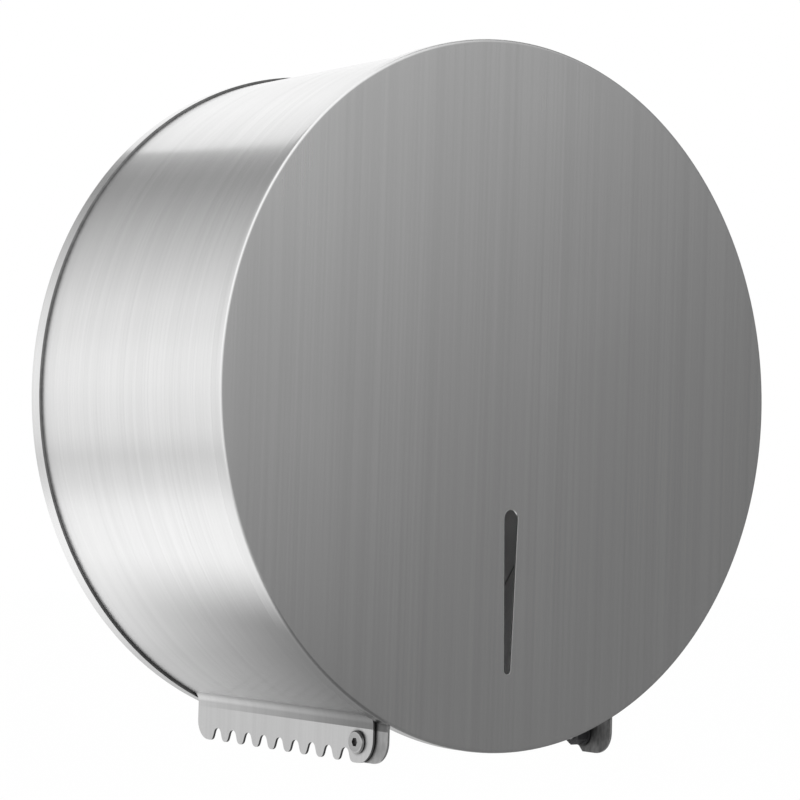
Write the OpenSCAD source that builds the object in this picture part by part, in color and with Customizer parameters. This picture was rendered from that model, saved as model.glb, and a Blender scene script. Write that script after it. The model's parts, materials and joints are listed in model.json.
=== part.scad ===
// Round stainless dispenser for one jumbo toilet roll, in millimetres.
// +Z is up. The wall face is the plane Y = 0 and the cover faces -Y. The drum's axis is the Y axis.
// A height "h" is a distance in front of the wall face, so it lies at Y = -h.

/* [Drum and cover] */
// Outside diameter of the cover
cover_d = 270; // [250:5:320]
// Distance from the wall face to the front of the cover
depth = 130; // [124:1:160]
// Sheet of the cover and the drum wall
sheet_t = 1.0; // [0.8:0.1:1.5]
// Depth of the rim around the cover, front face included
cover_rim = 6; // [4:0.5:9]
// Radial gap between the cover's rim and the drum wall
cover_gap = 0.6; // [0.5:0.1:1.2]
// Outside radius of the fold between the cover's face and its rim
cover_fold_r = 1.3; // [1.1:0.1:1.6]
// Gap between the drum's front edge and the cover
front_gap = 2; // [1.5:0.1:3]
// Sheet of the back plate
back_t = 1.2; // [1:0.1:2]
// Depth of the rim around the back plate, sheet included
back_rim = 6.5; // [4:0.5:10]
// Radius of the pressed boss in the middle of the back plate
boss_r = 44; // [40:1:48]
// Height of the pressed boss
boss_h = 3; // [2.5:0.1:4]

/* [Viewing slot] */
// Distance of the slot's upper end below the drum's axis
slot_top = 46.7; // [40:0.1:60]
// Distance between the centres of the slot's two round ends
slot_len = 57.1; // [40:0.1:65]
// Radius of the slot's upper end
slot_wide_r = 3.3; // [2.5:0.1:4]
// Radius of the slot's lower end
slot_narrow_r = 1.55; // [1:0.05:2.4]

/* [Mouth and tear edge] */
// Width of the mouth over the outer faces of its two flanges
mouth_w = 114; // [100:1:124]
// Inside radius of the fold between drum wall and flange
fold_r = 4.5; // [3:0.5:6]
// Distance of the flanges' front edge behind the front of the cover
flange_front = 8; // [7.5:0.5:10]
// Gap between the flanges' rear edge and the back plate's rim
flange_rear_gap = 1; // [0.5:0.5:3]
// Drop of the toothed flange below its fold line
blade_drop = 14.6; // [13:0.1:17]
// Depth of the teeth
tooth_depth = 5.1; // [5:0.1:6]
// Distance from tooth to tooth
tooth_pitch = 10.48; // [10.4:0.01:12]
// Radius of the tooth tips and of the gullets
tooth_r = 2.4; // [1.8:0.1:2.4]
// Distance of the first gullet behind the hinge axis
first_gullet = 7.7; // [7.7:0.1:9]
// Plain edge left behind the last gullet
tooth_rear_land = 13.5; // [12:0.5:20]
// Radius of the toothed flange's front corner
blade_front_r = 9; // [6:0.5:9]
// Radius of the toothed flange's rear corner
blade_rear_r = 7.5; // [4:0.5:8]
// Drop of the plain flange below its fold line
plain_drop = 7.6; // [6:0.1:10]
// Radius of the lug around the hinge screw on the plain flange
lug_r = 6.2; // [5.5:0.1:6.5]
// Corner radius of the plain flange
plain_corner_r = 3; // [1:0.5:4]

/* [Hinge] */
// Distance of the hinge axis behind the front of the cover
pivot_back = 17; // [16:0.5:19]
// Drop of the hinge axis below the flanges' fold line
pivot_drop = 6.9; // [6.5:0.1:7.5]
// Sheet of the hinge ears
ear_t = 1.0; // [0.8:0.1:1.5]
// Side gap between an ear and its flange, and between an ear and its washer
ear_gap = 0.3; // [0.3:0.05:0.5]
// Drop of the ears below the hinge axis
ear_drop = 7.4; // [6.5:0.1:8]
// Radius of the ears' lower front corner
ear_front_r = 8.5; // [5:0.5:9]
// Reach of the ears behind the hinge axis
ear_rear = 4.8; // [4.5:0.1:6]
// Height of the bevel at the ears' lower rear corner
ear_bevel = 5; // [3:0.1:6]
// Height of the ears above the hinge axis
ear_rise = 26; // [20:1:32]
// Height of the foot that fastens an ear to the cover
ear_foot_h = 12; // [8:1:14]
// Width of the foot that fastens an ear to the cover
ear_foot_w = 12; // [8:1:16]
// Clearance of the slot that lets an ear through the cover's rim
ear_slot_gap = 0.2; // [0.1:0.05:0.4]
// Diameter of the hinge screws
hinge_screw_d = 5; // [4:0.5:5]
// Diameter of the hinge screws' heads
hinge_head_d = 8.5; // [8:0.1:9.5]
// Height of the hinge screws' heads
hinge_head_h = 1.6; // [1.4:0.1:2.5]
// Width across flats of the sockets in all screw heads
socket_af = 3; // [2.5:0.5:3]
// Outside diameter of the bushes that the ears turn on
hinge_bush_d = 6.4; // [6.2:0.1:7]
// Running clearance on the radius between bush and ear, and between axle and hub bush
run_gap = 0.05; // [0.02:0.01:0.08]
// Clearance on the radius of screws and rivets in their holes
fastener_gap = 0.1; // [0.05:0.05:0.2]
// Diameter of the hinge washers
hinge_washer_d = 10; // [9:0.5:12]
// Thickness of the hinge washers
hinge_washer_t = 1; // [0.8:0.1:1.5]
// Width across flats of the hinge nuts
hinge_nut_af = 8; // [7.5:0.5:9]
// Height of the hinge nuts
hinge_nut_h = 4.7; // [4:0.1:6]
// Length of screw that stands out of a nut
screw_end = 1; // [0.5:0.5:2]

/* [Spindle and hub] */
// Outside diameter of the hub that carries the roll's core
hub_d = 56; // [52:1:62]
// Length of the hub
hub_len = 89; // [86:1:96]
// Wall of the hub
hub_wall = 2.5; // [2:0.1:4]
// Diameter of the hub's rear flange
hub_flange_d = 82; // [74:1:100]
// Thickness of the hub's rear flange
hub_flange_t = 2.5; // [2:0.1:4]
// Diameter of the steel axle
axle_d = 12; // [10:1:14]
// Diameter of the bushes in the hub
hub_bush_d = 16; // [16:0.5:20]
// Length of each bush in the hub
hub_bush_len = 12; // [8:1:16]
// Wall of the hub core's tube
hub_tube_wall = 2; // [1.5:0.1:3]
// Thickness of the hub core's ribs
hub_rib_t = 2.5; // [2:0.1:4]
// Number of the hub core's ribs
hub_ribs = 3; // [3:1:6]
// Depth of the hollow in front of the hub core
hub_recess = 12; // [11:0.5:14]
// Thickness of the hub's end cap
hub_cap_t = 3; // [2:0.5:5]
// Depth of the end cap's spigot in the hub
hub_cap_spigot = 3; // [2:0.5:3.5]
// Diameter of the spindle's foot plate
foot_d = 66; // [60:1:72]
// Thickness of the spindle's foot plate
foot_t = 2; // [1.5:0.1:3]
// Diameter of the collar on the foot plate
collar_d = 20; // [18:1:24]
// Length of the collar on the foot plate
collar_len = 10; // [6:1:12]
// Diameter of the circle that the foot's rivets lie on
rivet_pcd = 48; // [44:1:50]
// Diameter of the rivets
rivet_d = 4; // [3:0.5:5]
// Thickness of the brake washer behind the hub
brake_washer_t = 2; // [1:0.1:3]
// Diameter of the brake washer and of the washers in front of the hub
brake_washer_d = 24; // [20:1:28]
// Thickness of the spring washer in front of the hub
spring_t = 0.8; // [0.5:0.1:1]
// Cone height of the spring washer
spring_cone = 1.0; // [0.5:0.1:1.2]
// Thickness of the end washer in front of the hub
end_washer_t = 1.5; // [1:0.1:2]
// Diameter of the end screw
end_screw_d = 6; // [5:1:6]
// Side gap between parts that turn and parts that stand still
side_gap = 0.3; // [0.2:0.05:0.5]

/* [Lock] */
// Distance of the lock's axis behind the front of the cover
lock_back = 22; // [22:0.5:28]
// Diameter of the lock's threaded barrel
barrel_d = 16; // [15:0.5:17]
// Diameter of the barrel's head
barrel_head_d = 19; // [18.5:0.5:20]
// Height of the barrel's head
barrel_head_h = 2.2; // [1.8:0.1:2.5]
// Thickness of the gasket and the backing washer over the crown of the drum
lock_washer_t = 0.8; // [0.6:0.1:1.2]
// Diameter of the gasket and the backing washer
lock_washer_d = 20; // [19.5:0.5:21]
// Width across flats of the lock's nut
lock_nut_af = 19; // [19:0.5:21]
// Height of the lock's nut
lock_nut_h = 3; // [2.5:0.5:4]
// Length of barrel that stands out of its nut
barrel_end = 1.4; // [1.2:0.1:3]
// Diameter of the plug that the key turns
plug_d = 11; // [9:0.5:11]
// Diameter of the plug's head
plug_head_d = 13; // [12:0.5:13]
// Height of the plug's head
plug_head_h = 1; // [0.8:0.1:1.2]
// Reach of the cam from the lock's axis
cam_len = 14.5; // [13:0.5:15]
// Width of the cam
cam_w = 10; // [9:0.5:11]
// Thickness of the cam
cam_t = 2; // [1.5:0.1:2.5]
// Sheet of the strike on the cover
strike_t = 1.2; // [1:0.1:1.5]
// Clearance between the cam and the strike with its pin
strike_gap = 0.5; // [0.3:0.1:0.8]
// Height of the foot that fastens the strike to the cover
strike_foot = 16; // [10:1:20]
// Diameter of the strike's catch pin
catch_pin_d = 4; // [3:0.5:4.5]
// Edge of the strike left around its catch pin
catch_pin_edge = 2; // [1.5:0.1:3]

/* [Wall fixing and pads] */
// Distance between the wall screws' holes, both ways
wall_hole_pitch = 120; // [100:5:140]
// Diameter of the wall screws' holes
wall_hole_d = 6.5; // [5:0.5:8]
// Length of each rubber pad between cover and drum
pad_len = 12; // [8:1:20]
// Width of each rubber pad
pad_w = 6; // [4:0.5:10]
// Gap between a pad and the drum's front edge
pad_gap = 0.4; // [0.3:0.1:0.8]

/* [Hidden] */
$fn = 96;
rim_fn = 240;

// Overshoot of the shapes that cut through something
cut = 1;
// How far straight edges run inside the circles that they lead into
blend = 0.02;
// How much the sheet thins on each side of a fold, and how far a fold reaches into its neighbours
fold_thinning = 0.02;
fold_lap = 0.1;
steel = "#c3c5c7";
bright_steel = "#d6d8da";
black_nylon = "#232325";
grey_plastic = "#5b5e62";

// Screw heads: share of the height that slopes, the slope's run, and the floor under the socket
head_edge = 0.5;
head_slope = 1.2;
socket_floor = 0.3;

// Radii and heights of the drum
cover_r = cover_d / 2;
wall_r = cover_r - sheet_t - cover_gap;
wall_inner_r = wall_r - sheet_t;
back_r = wall_r + back_t;
wall_front_h = depth - sheet_t - front_gap;
cover_inner_h = depth - sheet_t;

// Mouth: the fold's centre lies outside the drum and touches its wall
flange_x = mouth_w / 2;
fold_x = flange_x + fold_r;
fold_z = -sqrt(pow(wall_r + fold_r, 2) - pow(fold_x, 2));
mouth_angle = asin(fold_x / (wall_r + fold_r));
flange_front_h = depth - flange_front;
flange_rear_h = back_rim + flange_rear_gap;

// Teeth: tip and gullet circles of one radius, joined by straight flanks
blade_z = fold_z - blade_drop;
tip_z = blade_z + tooth_r;
gullet_z = blade_z + tooth_depth - tooth_r;
tooth_rise = gullet_z - tip_z;
flank_r = tooth_r - blend;
flank_lean = acos(2 * flank_r / norm([tooth_pitch / 2, tooth_rise]))
             - atan2(tooth_rise, tooth_pitch / 2);
flank_y = flank_r * cos(flank_lean);
flank_z = flank_r * sin(flank_lean);
flank_foot_z = tip_z - flank_z;

// Hinge axis and the stack of pieces along it, from the flange inwards
pivot_h = depth - pivot_back;
pivot_z = fold_z - pivot_drop;
ear_x = flange_x - sheet_t - ear_gap;
bush_len = 2 * ear_gap + ear_t;
hinge_washer_x = flange_x - sheet_t - bush_len;
hinge_nut_x = hinge_washer_x - hinge_washer_t;
hinge_screw_len = sheet_t + bush_len + hinge_washer_t + hinge_nut_h + screw_end;
first_gullet_y = -pivot_h + first_gullet;
gullets = 1 + floor((-flange_rear_h - tooth_rear_land - first_gullet_y) / tooth_pitch);

// Spindle: heights of its stack in front of the wall face
foot_h = boss_h + back_t;
collar_h = foot_h + foot_t + collar_len;
hub_h = collar_h + brake_washer_t + side_gap;
hub_inner_r = hub_d / 2 - hub_wall;
tube_front_h = hub_h + hub_len - hub_recess;
spring_h = tube_front_h + side_gap;
end_washer_h = spring_h + spring_t + spring_cone;
end_head_h = end_washer_h + end_washer_t;
end_head_d = 1.8 * end_screw_d;
end_head_t = 3;
end_screw_len = 16;

// Lock: levels above the drum's axis, from the crown of the drum
lock_h = depth - lock_back;
barrel_r = barrel_d / 2;
lock_seat_z = wall_r + lock_washer_t;
barrel_top_z = lock_seat_z + barrel_head_h;
// How far the gasket and the backing washer follow the drum's curve
saddle_h = 2;
backing_z = wall_inner_r - saddle_h / 2 - lock_washer_t;
lock_nut_z = backing_z - lock_nut_h;
barrel_bottom_z = lock_nut_z - barrel_end;
cam_top_z = barrel_bottom_z - side_gap;
cam_z = cam_top_z - cam_t;
stub_r = 4;
stub_flat = 3;
cam_screw_d = 4;
cam_screw_len = 8;
catch_pin_x = cam_len - catch_pin_d / 2;
catch_pin_y = -lock_h + cam_w / 2 + strike_gap + catch_pin_d / 2;
strike_x = catch_pin_x - catch_pin_d / 2 - catch_pin_edge;
strike_w = catch_pin_d + 2 * catch_pin_edge;
strike_z = cam_z - strike_gap - strike_t;

// Moves a shape drawn upwards from Z = 0 to height h, so that it grows towards the front
module forward(h) {
    translate([0, -h, 0]) rotate([90, 0, 0]) children();
}

// Gives a [Y, Z] outline a thickness along X, from x to x + t
module across(x, t) {
    translate([x, 0, 0]) rotate([90, 0, 90]) linear_extrude(height = t) children();
}

// Draws a shape at the hinge axis, with its own Z axis pointing outwards from x to the left
module on_left_pivot(x) {
    translate([-x, -pivot_h, pivot_z]) rotate([0, -90, 0]) children();
}

// Draws the left-hand shapes and their mirror images
module both_sides() {
    children();
    mirror([1, 0, 0]) children();
}

module ring(outer_r, inner_r, t) {
    difference() {
        cylinder(r = outer_r, h = t);
        translate([0, 0, -cut]) cylinder(r = inner_r, h = t + 2 * cut);
    }
}

// Hexagonal prism given by its width across flats
module hexagon_bar(af, t) {
    cylinder(r = af / sqrt(3), h = t, $fn = 6);
}

// Low round screw head with a sloped edge and a hexagonal socket, seated at Z = 0
module socket_head(d, t, af) {
    edge = head_edge * t;
    difference() {
        union() {
            cylinder(r = d / 2, h = t - edge);
            translate([0, 0, t - edge])
                cylinder(r1 = d / 2, r2 = d / 2 - head_slope * edge, h = edge);
        }
        translate([0, 0, socket_floor * t]) hexagon_bar(af, t);
    }
}

// Places where the four rivets of the foot plate stand
module at_rivets() {
    for (turn = [45:90:315]) rotate(turn) translate([rivet_pcd / 2, 0, 0]) children();
}

// Places of the wall screws' holes
module at_wall_holes() {
    for (x = [-1, 1], z = [-1, 1])
        translate([x * wall_hole_pitch / 2, z * wall_hole_pitch / 2, 0]) children();
}

// Dished back plate: rim, flat ring against the wall, pressed boss with a side at 45 degrees
module back_plate() {
    slope = boss_h;
    color(steel) forward(0) difference() {
        rotate_extrude($fn = rim_fn) {
            difference() {
                translate([0, 0]) square([back_r, back_rim]);
                translate([-cut, back_t]) square([wall_r + cut, back_rim]);
                polygon([[-cut, -cut], [boss_r, -cut], [boss_r, 0], [boss_r - slope, boss_h],
                         [-cut, boss_h]]);
            }
            polygon([[0, boss_h], [boss_r - slope, boss_h], [boss_r, 0], [boss_r + back_t, back_t],
                     [boss_r + back_t - slope, boss_h + back_t], [0, boss_h + back_t]]);
        }
        at_wall_holes() translate([0, 0, -cut]) cylinder(r = wall_hole_d / 2, h = back_t + 2 * cut);
        at_rivets() cylinder(r = rivet_d / 2 + fastener_gap, h = boss_h + back_t + cut);
    }
}

// Wedge below the drum's axis, between the two ends of the wall
module mouth_wedge(t) {
    reach = 1.4 * cover_r;
    linear_extrude(height = t)
        polygon([[0, 0], [-reach * sin(mouth_angle), -reach * cos(mouth_angle)], [0, -1.2 * reach],
                 [reach * sin(mouth_angle), -reach * cos(mouth_angle)]]);
}

// Round fold that leads from the right end of the wall into the flange
module fold() {
    reach = 3 * (fold_r + sheet_t);
    lap_angle = mouth_angle - asin(fold_lap / fold_r);
    forward(flange_rear_h) translate([fold_x, fold_z, 0]) intersection() {
        ring(fold_r + sheet_t - fold_thinning, fold_r + fold_thinning,
             flange_front_h - flange_rear_h);
        linear_extrude(height = flange_front_h - flange_rear_h)
            polygon([[0, -fold_lap], [-reach, -fold_lap], [-reach, reach],
                     [-2 * reach * sin(lap_angle), 2 * reach * cos(lap_angle)]]);
    }
}

// Outline of the toothed flange: a strip whose teeth are tip circles left between gullets
module toothed_outline() {
    front_y = -flange_front_h;
    rear_y = -flange_rear_h;
    first_tip_y = first_gullet_y - tooth_pitch / 2;
    last_tip_y = first_tip_y + gullets * tooth_pitch;
    difference() {
        union() {
            translate([front_y, blade_z + blade_front_r])
                square([rear_y - front_y, fold_z - blade_z - blade_front_r]);
            translate([front_y + blade_front_r, flank_foot_z])
                square([rear_y - front_y - blade_front_r - blade_rear_r, fold_z - flank_foot_z]);
            translate([front_y + blade_front_r, blade_z])
                square([first_tip_y - front_y - blade_front_r, blade_front_r]);
            translate([last_tip_y, blade_z])
                square([rear_y - blade_rear_r - last_tip_y, blade_rear_r]);
            translate([rear_y - blade_rear_r, blade_z + blade_rear_r])
                square([blade_rear_r, fold_z - blade_z - blade_rear_r]);
            translate([front_y + blade_front_r, blade_z + blade_front_r]) circle(r = blade_front_r);
            translate([rear_y - blade_rear_r, blade_z + blade_rear_r]) circle(r = blade_rear_r);
        }
        for (i = [0:gullets - 1]) translate([first_gullet_y + i * tooth_pitch, 0]) {
            translate([0, gullet_z]) circle(r = tooth_r);
            polygon([[-flank_y, gullet_z + flank_z], [flank_y, gullet_z + flank_z],
                     [tooth_pitch / 2 - flank_y, flank_foot_z],
                     [flank_y - tooth_pitch / 2, flank_foot_z]]);
        }
    }
    for (i = [0:gullets]) translate([first_tip_y + i * tooth_pitch, tip_z]) circle(r = tooth_r);
}

// Outline of the plain flange: a strip with round corners and a lug around the hinge screw
module plain_outline() {
    front_y = -flange_front_h;
    rear_y = -flange_rear_h;
    bottom_z = fold_z - plain_drop;
    translate([front_y + plain_corner_r, bottom_z])
        square([rear_y - front_y - 2 * plain_corner_r, plain_drop]);
    translate([front_y, bottom_z + plain_corner_r])
        square([rear_y - front_y, plain_drop - plain_corner_r]);
    translate([front_y + plain_corner_r, bottom_z + plain_corner_r]) circle(r = plain_corner_r);
    translate([rear_y - plain_corner_r, bottom_z + plain_corner_r]) circle(r = plain_corner_r);
    translate([-pivot_h, pivot_z]) circle(r = lug_r);
}

// Hole for a hinge screw, drawn through both flanges' sheet
module pivot_hole(x) {
    on_left_pivot(x - sheet_t - cut)
        cylinder(r = hinge_screw_d / 2 + fastener_gap, h = sheet_t + 2 * cut);
}

// One bent sheet: the drum's wall, open below, with a toothed and a plain flange at its ends
module drum_wall() {
    color(steel) {
        difference() {
            forward(back_t) ring(wall_r, wall_inner_r, wall_front_h - back_t, $fn = rim_fn);
            forward(0) mouth_wedge(depth);
            translate([0, -lock_h, 0]) cylinder(r = barrel_r + fastener_gap, h = 2 * cover_r);
        }
        fold();
        mirror([1, 0, 0]) fold();
        difference() {
            across(-flange_x, sheet_t) toothed_outline();
            pivot_hole(flange_x);
        }
        difference() {
            across(flange_x - sheet_t, sheet_t) plain_outline();
            mirror([1, 0, 0]) pivot_hole(flange_x);
        }
    }
}

// Foot plate with the collar that holds the axle
module spindle_foot() {
    color(bright_steel) forward(foot_h) difference() {
        union() {
            cylinder(r = foot_d / 2, h = foot_t);
            cylinder(r = collar_d / 2, h = foot_t + collar_len);
        }
        translate([0, 0, -cut]) cylinder(r = axle_d / 2, h = foot_t + collar_len + 2 * cut);
        at_rivets() translate([0, 0, -cut]) cylinder(r = rivet_d / 2 + fastener_gap, h = foot_t + 2 * cut);
    }
}

// Four rivets through foot plate and boss, their tails inside the boss
module spindle_rivets() {
    tail_t = 1.2;
    tail_r = 0.85 * rivet_d;
    head_t = 1.6;
    color(bright_steel) forward(boss_h - tail_t) at_rivets() {
        cylinder(r = tail_r, h = tail_t);
        cylinder(r = rivet_d / 2, h = tail_t + back_t + foot_t);
        translate([0, 0, tail_t + back_t + foot_t]) {
            cylinder(r = rivet_d, h = head_t / 2);
            translate([0, 0, head_t / 2]) cylinder(r1 = rivet_d, r2 = rivet_d / 2, h = head_t / 2);
        }
    }
}

// Steel axle, fixed in the collar and tapped at its front end
module spindle_axle() {
    color(bright_steel) forward(foot_h) difference() {
        cylinder(r = axle_d / 2, h = end_washer_h - foot_h);
        translate([0, 0, end_washer_h - foot_h - end_screw_len])
            cylinder(r = end_screw_d / 2, h = end_screw_len + cut);
    }
}

// Washer that the hub drags on, so that the roll doesn't overrun
module brake_washer() {
    color(black_nylon) forward(collar_h)
        ring(brake_washer_d / 2, axle_d / 2 + fastener_gap, brake_washer_t);
}

// Conical spring washer that keeps the hub pressed back
module spring_washer() {
    inset = 1;
    inner_r = axle_d / 2 + fastener_gap;
    outer_r = brake_washer_d / 2 - inset;
    color(bright_steel) forward(spring_h) rotate_extrude()
        polygon([[outer_r, 0], [outer_r, spring_t], [inner_r, spring_t + spring_cone],
                 [inner_r, spring_cone]]);
}

module end_washer() {
    color(bright_steel) forward(end_washer_h)
        ring(brake_washer_d / 2, end_screw_d / 2 + fastener_gap, end_washer_t);
}

module end_screw() {
    color(bright_steel) {
        forward(end_head_h) socket_head(end_head_d, end_head_t, socket_af);
        forward(end_head_h - end_screw_len) cylinder(r = end_screw_d / 2, h = end_screw_len);
    }
}

// Gasket under the lock's head, its lower side shaped to the drum
module lock_gasket() {
    color(black_nylon) difference() {
        translate([0, -lock_h, wall_r - saddle_h])
            ring(lock_washer_d / 2, barrel_r + fastener_gap, lock_washer_t + saddle_h);
        forward(0) cylinder(r = wall_r, h = depth, $fn = rim_fn);
    }
}

// Backing washer inside the drum, its upper side shaped to the wall
module lock_backing_washer() {
    color(steel) intersection() {
        translate([0, -lock_h, backing_z])
            ring(lock_washer_d / 2, barrel_r + fastener_gap, lock_washer_t + saddle_h);
        forward(0) cylinder(r = wall_inner_r, h = depth, $fn = rim_fn);
    }
}

// Threaded barrel of the lock, with the bore that the plug turns in
module lock_barrel() {
    head_r = barrel_head_d / 2;
    bevel = 0.8;
    color(bright_steel) difference() {
        translate([0, -lock_h, 0]) {
            translate([0, 0, barrel_bottom_z])
                cylinder(r = barrel_r, h = lock_seat_z - barrel_bottom_z);
            translate([0, 0, lock_seat_z]) cylinder(r = head_r, h = barrel_head_h - bevel);
            translate([0, 0, barrel_top_z - bevel])
                cylinder(r1 = head_r, r2 = head_r - bevel, h = bevel);
        }
        translate([0, -lock_h, barrel_bottom_z - cut])
            cylinder(r = plug_d / 2 + run_gap, h = barrel_top_z - barrel_bottom_z + 2 * cut);
        translate([0, -lock_h, barrel_top_z - plug_head_h - run_gap])
            cylinder(r = plug_head_d / 2 + run_gap, h = plug_head_h + cut);
    }
}

module lock_nut() {
    color(bright_steel) translate([0, -lock_h, lock_nut_z]) difference() {
        hexagon_bar(lock_nut_af, lock_nut_h);
        translate([0, 0, -cut]) cylinder(r = barrel_r, h = lock_nut_h + 2 * cut);
    }
}

// Low socket-head screws that the cover hinges on
module hinge_screws() {
    color(bright_steel) both_sides() {
        on_left_pivot(flange_x) socket_head(hinge_head_d, hinge_head_h, socket_af);
        on_left_pivot(flange_x - hinge_screw_len)
            cylinder(r = hinge_screw_d / 2, h = hinge_screw_len);
    }
}

// Bushes clamped between flange and washer, so that the ears stay free to turn
module hinge_bushes() {
    color(black_nylon) both_sides() on_left_pivot(hinge_washer_x)
        ring(hinge_bush_d / 2, hinge_screw_d / 2 + fastener_gap, bush_len);
}

module hinge_washers() {
    color(black_nylon) both_sides() on_left_pivot(hinge_nut_x)
        ring(hinge_washer_d / 2, hinge_screw_d / 2 + fastener_gap, hinge_washer_t);
}

module hinge_nuts() {
    color(black_nylon) both_sides() on_left_pivot(hinge_nut_x - hinge_nut_h) difference() {
        hexagon_bar(hinge_nut_af, hinge_nut_h);
        translate([0, 0, -cut]) cylinder(r = hinge_screw_d / 2, h = hinge_nut_h + 2 * cut);
    }
}

// Viewing slot: two round ends joined by their common tangents, narrower below
module slot_outline() {
    lean = asin((slot_wide_r - slot_narrow_r) / slot_len);
    side = [cos(lean), sin(lean)];
    wide = slot_wide_r - blend;
    narrow = slot_narrow_r - blend;
    top = [0, -slot_top];
    bottom = [0, -slot_top - slot_len];
    translate(top) circle(r = slot_wide_r);
    translate(bottom) circle(r = slot_narrow_r);
    polygon([top + wide * [side.x, -side.y], bottom + narrow * [side.x, -side.y],
             bottom + narrow * [-side.x, -side.y], top + wide * [-side.x, -side.y]]);
}

// Front cover: a shallow pan with a rounded fold, a viewing slot and slots for the ears
module cover_panel() {
    inner_fold_r = cover_fold_r - sheet_t;
    slot_w = ear_t + 2 * ear_slot_gap;
    slot_top_z = sqrt(pow(cover_r - 2 * sheet_t, 2) - pow(ear_x, 2));
    color(steel) difference() {
        forward(depth - cover_rim) rotate_extrude($fn = rim_fn) {
            square([cover_r - cover_fold_r, cover_rim]);
            square([cover_r, cover_rim - cover_fold_r]);
            translate([cover_r - cover_fold_r, cover_rim - cover_fold_r]) circle(r = cover_fold_r);
        }
        forward(depth - cover_rim - cut) rotate_extrude($fn = rim_fn) {
            square([cover_r - cover_fold_r, cover_rim - sheet_t + cut]);
            square([cover_r - sheet_t, cover_rim - cover_fold_r + cut]);
            translate([cover_r - cover_fold_r, cover_rim - cover_fold_r + cut])
                circle(r = inner_fold_r);
        }
        forward(depth - sheet_t - cut) linear_extrude(height = sheet_t + 2 * cut) slot_outline();
        for (side = [-1, 1])
            translate([side * (ear_x - ear_t / 2) - slot_w / 2, -cover_inner_h - ear_slot_gap, -cover_r])
                cube([slot_w, cover_rim, cover_r - slot_top_z]);
    }
}

// Outline of a hinge ear: round lower front corner, bevelled lower rear corner
module ear_outline() {
    front_y = -cover_inner_h;
    rear_y = -pivot_h + ear_rear;
    bottom_z = pivot_z - ear_drop;
    top_z = pivot_z + ear_rise;
    polygon([[front_y, top_z], [front_y, bottom_z + ear_front_r], [front_y + ear_front_r, bottom_z],
             [rear_y - ear_bevel, bottom_z], [rear_y, bottom_z + ear_bevel],
             [rear_y, pivot_z + ear_rear], [front_y + ear_front_r, top_z]]);
    translate([front_y + ear_front_r, bottom_z + ear_front_r]) circle(r = ear_front_r);
}

// Left ear: a plate that turns on the bush, with a foot welded behind the cover's face
module ear() {
    difference() {
        union() {
            across(-ear_x, ear_t) ear_outline();
            translate([-ear_x, -cover_inner_h, pivot_z + ear_rise - ear_foot_h])
                cube([ear_foot_w, ear_t, ear_foot_h]);
        }
        on_left_pivot(ear_x - ear_t - cut)
            cylinder(r = hinge_bush_d / 2 + run_gap, h = ear_t + 2 * cut);
    }
}

module hinge_ear_left() {
    color(steel) ear();
}

module hinge_ear_right() {
    color(steel) mirror([1, 0, 0]) ear();
}

// Strike on the cover: a foot, and a tongue under the cam that holds the catch pin
module lock_strike() {
    color(steel) difference() {
        union() {
            translate([strike_x, -cover_inner_h, strike_z - strike_foot])
                cube([strike_w, strike_t, strike_foot + strike_t]);
            translate([strike_x, -cover_inner_h, strike_z])
                cube([strike_w, cover_inner_h + catch_pin_y + catch_pin_d / 2 + catch_pin_edge, strike_t]);
        }
        translate([catch_pin_x, catch_pin_y, strike_z - cut])
            cylinder(r = catch_pin_d / 2, h = strike_t + 2 * cut);
    }
}

// Pin pressed into the strike, which the turned cam catches in front of
module strike_pin() {
    top_z = cam_top_z + strike_gap;
    edge = 0.5;
    color(bright_steel) translate([catch_pin_x, catch_pin_y, 0]) {
        translate([0, 0, strike_z]) cylinder(r = catch_pin_d / 2, h = top_z - edge - strike_z);
        translate([0, 0, top_z - edge])
            cylinder(r1 = catch_pin_d / 2, r2 = catch_pin_d / 2 - edge, h = edge);
    }
}

// Rubber pads behind the cover's edge, which the drum's front edge meets
module cover_pads() {
    pad_t = front_gap - pad_gap;
    color(black_nylon) for (turn = [30, 150, 210, 330]) rotate([0, turn, 0])
        translate([wall_r - pad_w, -cover_inner_h, -pad_len / 2]) cube([pad_w, pad_t, pad_len]);
}

// Hub that carries the roll's core: a tube with a rear flange
module roll_hub() {
    color(grey_plastic) forward(hub_h) difference() {
        union() {
            cylinder(r = hub_d / 2, h = hub_len);
            cylinder(r = hub_flange_d / 2, h = hub_flange_t);
        }
        translate([0, 0, -cut]) cylinder(r = hub_inner_r, h = hub_len + 2 * cut);
    }
}

// Core pressed into the hub: the tube around the axle, and the ribs that reach the hub's wall
module hub_core() {
    tube_len = tube_front_h - hub_h;
    rib_inset = 1;
    rib_from = (hub_bush_d + hub_tube_wall) / 2;
    rib_to = sqrt(pow(hub_inner_r, 2) - pow(hub_rib_t / 2, 2));
    color(grey_plastic) forward(hub_h) {
        ring(hub_bush_d / 2 + hub_tube_wall, hub_bush_d / 2, tube_len);
        for (i = [0:hub_ribs - 1]) rotate((i + 0.5) * 360 / hub_ribs)
            translate([rib_from, -hub_rib_t / 2, rib_inset])
                cube([rib_to - rib_from, hub_rib_t, tube_len - 2 * rib_inset]);
    }
}

// Two plain bushes pressed into the ends of the hub core's tube
module hub_bushes() {
    color(black_nylon) for (h = [hub_h, tube_front_h - hub_bush_len])
        forward(h) ring(hub_bush_d / 2, axle_d / 2 + run_gap, hub_bush_len);
}

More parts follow.
